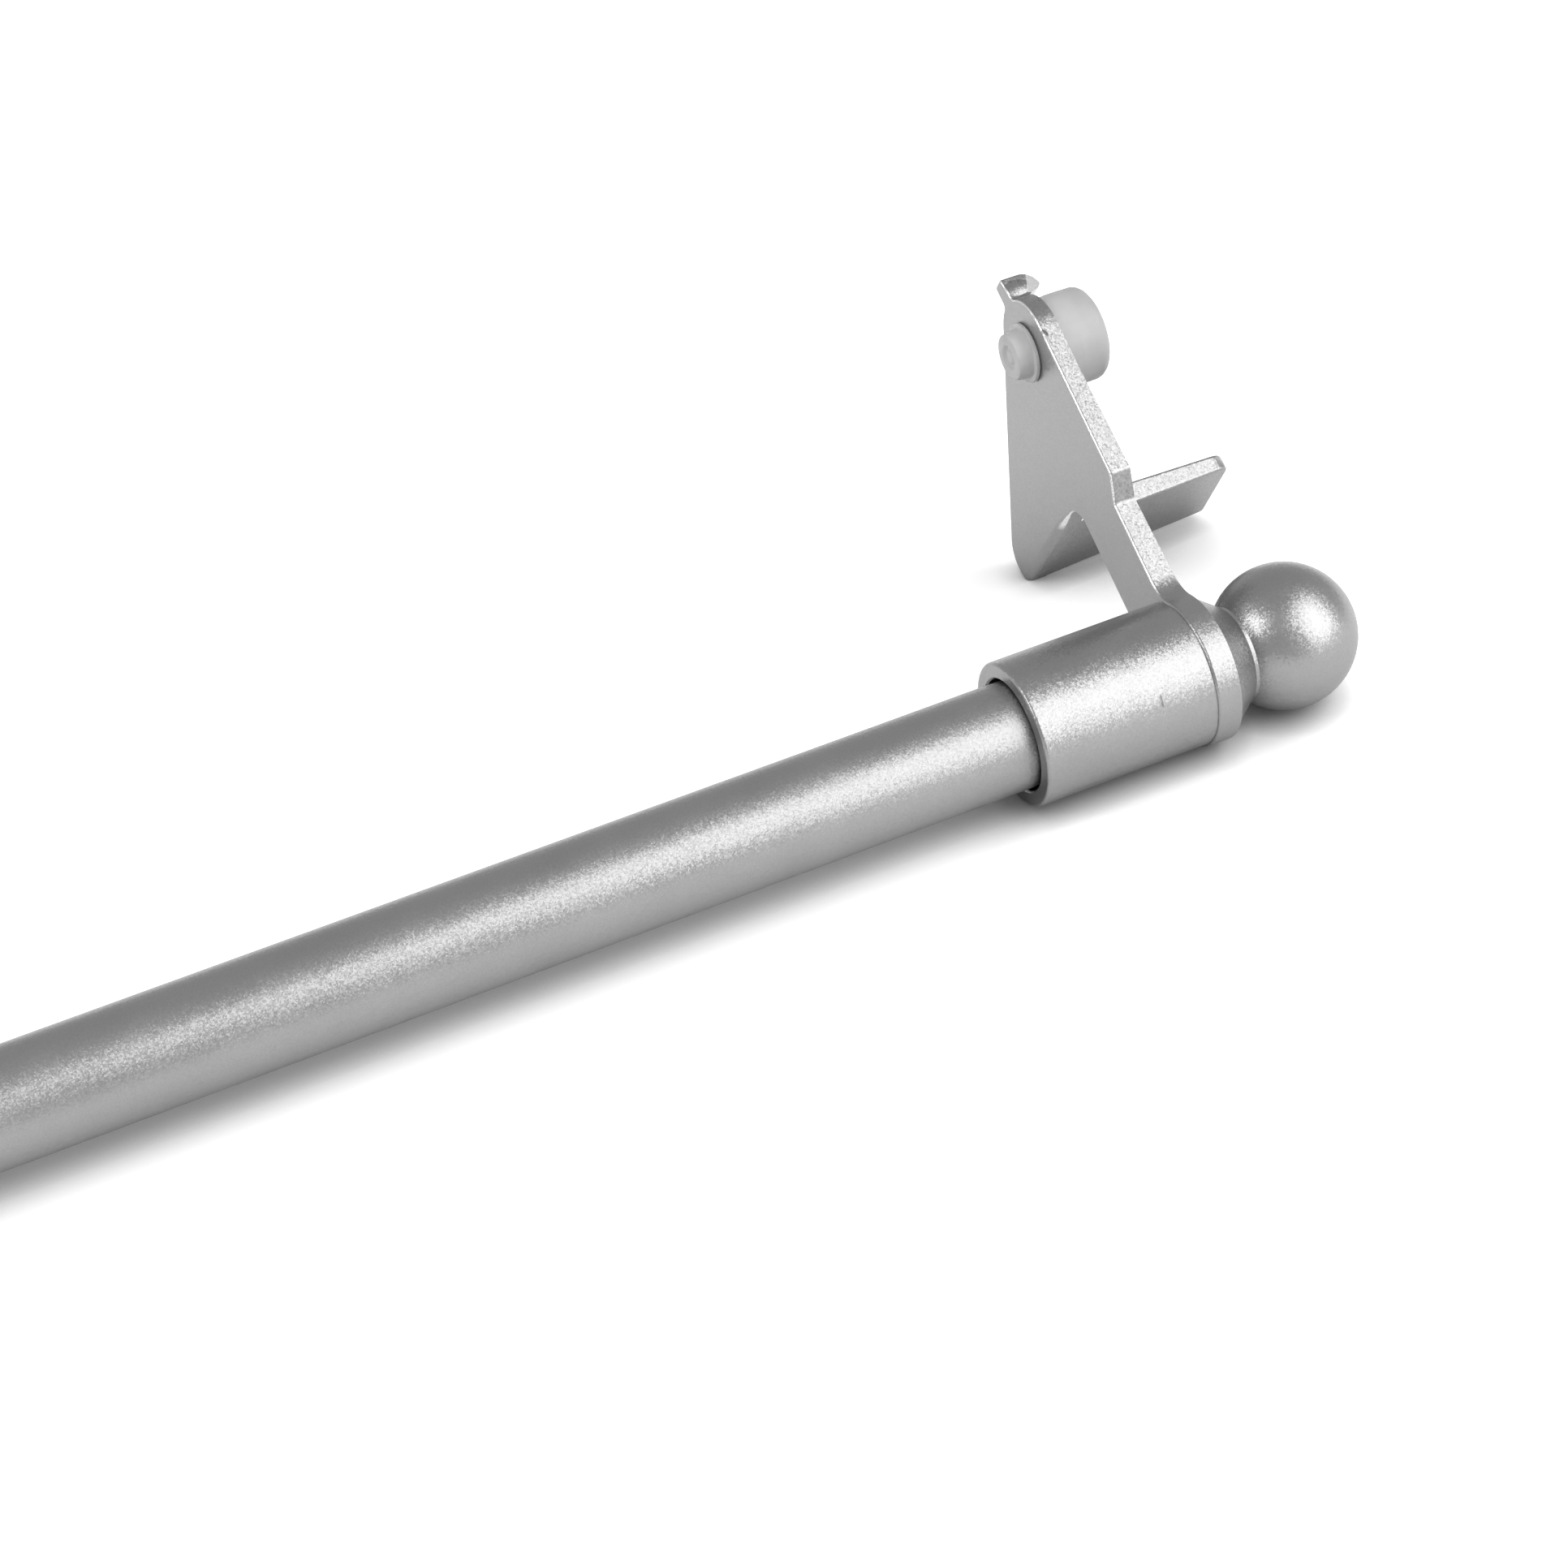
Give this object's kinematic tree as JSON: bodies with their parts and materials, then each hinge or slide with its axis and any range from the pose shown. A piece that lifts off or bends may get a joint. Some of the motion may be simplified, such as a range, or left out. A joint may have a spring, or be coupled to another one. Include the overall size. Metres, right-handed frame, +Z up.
{
  "type": "clamp-in curtain rod",
  "caption": "Slim telescopic sprung curtain rod for a window recess, with cast end brackets that carry a ball, a foot, a claw and a soft press-out pad.",
  "frame": {"origin": "on the table under the middle of the rod's box", "axes": "+X along the rod towards the end with the fixed tube plug, +Y from the rod towards the feet, +Z up from the table"},
  "size_m": [0.4292, 0.0444, 0.0365],
  "materials": {
    "cast_silver": "satin silver lacquer with fine metal flake on a zinc casting",
    "silver_lacquer": "satin silver lacquer with fine metal flake on steel tube",
    "clear_silicone": "milky translucent soft silicone",
    "grey_plastic": "plain moulded grey",
    "silver_plastic": "moulded, lacquered silver",
    "white_plastic": "plain moulded white",
    "zinc_steel": "bright zinc plated",
    "spring_steel": "drawn spring wire"
  },
  "bodies": {
    "outer": {"outer_tube": "silver_lacquer", "outer_end_plug": "grey_plastic", "mouth_bush": "grey_plastic"},
    "bracket_r": {"bracket_right": "cast_silver", "pad_right": "clear_silicone"},
    "lock": {"lock_sleeve": "white_plastic"},
    "cone": {"lock_cone": "white_plastic"},
    "inner": {"inner_tube": "silver_lacquer", "anchor_plug": "grey_plastic", "lock_screw": "zinc_steel", "screw_clip": "spring_steel", "spring_stop": "grey_plastic", "tension_spring": "spring_steel"},
    "plunger": {"end_plunger": "silver_plastic"},
    "bracket_l": {"bracket_left": "cast_silver", "pad_left": "clear_silicone"}
  },
  "joints": [
    {"name": "right_swivel", "type": "hinge", "parent": "outer", "child": "bracket_r", "pos_m": [0.1736, -0.0145, 0.00775], "axis": [1, 0, 0], "continuous": true},
    {"name": "telescope", "type": "slide", "parent": "outer", "child": "lock", "axis": [-1, 0, 0], "range_m": [0, 0.2]},
    {"name": "twist_lock", "type": "hinge", "parent": "lock", "child": "inner", "pos_m": [0.1458, -0.0145, 0.00775], "axis": [1, 0, 0], "range_deg": [0, 360]},
    {"name": "cone_draw", "type": "slide", "parent": "lock", "child": "cone", "axis": [-1, 0, 0], "range_m": [0, 0.0007]},
    {"name": "spring_end", "type": "slide", "parent": "inner", "child": "plunger", "axis": [1, 0, 0], "range_m": [0, 0.012], "stiffness_N_per_m": 1200, "springref_m": -0.005, "deforming": ["tension_spring"]},
    {"name": "left_swivel", "type": "hinge", "parent": "plunger", "child": "bracket_l", "pos_m": [-0.1736, -0.0145, 0.00775], "axis": [1, 0, 0], "continuous": true}
  ],
  "couplings": [
    {"joint": "cone_draw", "follows": "twist_lock", "m_per_rad": 0.00011141}
  ]
}
